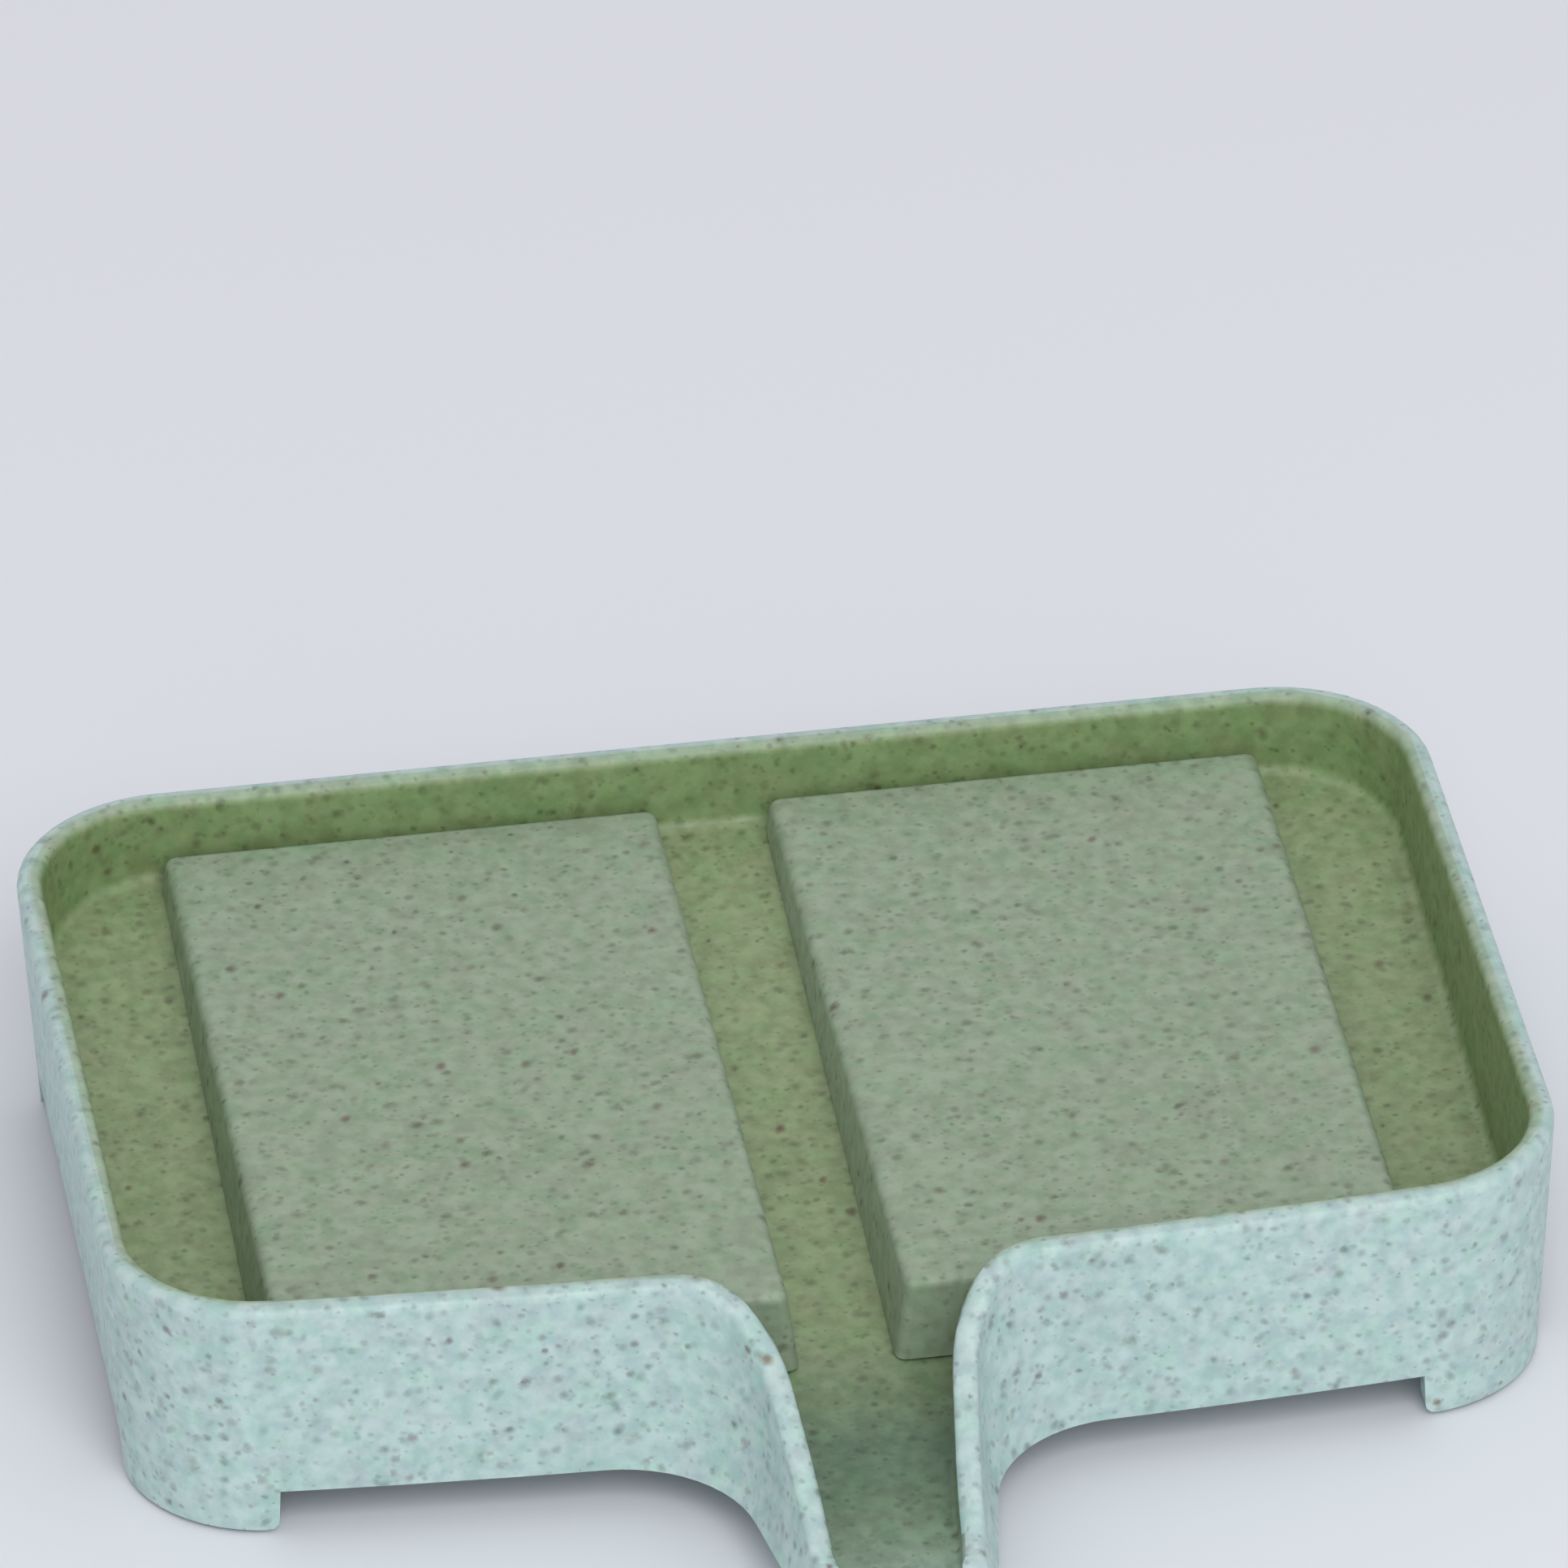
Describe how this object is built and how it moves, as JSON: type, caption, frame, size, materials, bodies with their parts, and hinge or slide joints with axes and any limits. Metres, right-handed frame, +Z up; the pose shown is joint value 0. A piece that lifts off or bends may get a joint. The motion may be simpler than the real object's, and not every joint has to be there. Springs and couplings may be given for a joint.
{
  "type": "soap dish",
  "caption": "Countertop soap or sponge dish whose sloping floor drains through a front spout, with lift-out rest platforms and corner feet.",
  "frame": {"origin": "middle of the whole footprint, tray and spout together, on the surface it stands on", "axes": "+X along the tray's length, +Y toward the back wall with the spout pointing along -Y, +Z up"},
  "size_m": [0.13, 0.1132, 0.0246],
  "materials": {
    "tray_plastic": "fine satin, pale mint with small dark fibre specks",
    "platform_plastic": "fine satin, pale sage with small dark fibre specks",
    "pad_rubber": "matt soft grip"
  },
  "bodies": {
    "tray_body": {"tray": "tray_plastic", "grip_pad_front_left": "pad_rubber", "grip_pad_front_right": "pad_rubber", "grip_pad_back_left": "pad_rubber", "grip_pad_back_right": "pad_rubber"},
    "left_platform_body": {"left_platform": "platform_plastic"},
    "right_platform_body": {"right_platform": "platform_plastic"}
  },
  "joints": [
    {"name": "left_platform_lift", "type": "slide", "parent": "tray_body", "child": "left_platform_body", "axis": [0, 0, 1], "range_m": [0, 0.03]},
    {"name": "right_platform_lift", "type": "slide", "parent": "tray_body", "child": "right_platform_body", "axis": [0, 0, 1], "range_m": [0, 0.03]}
  ]
}
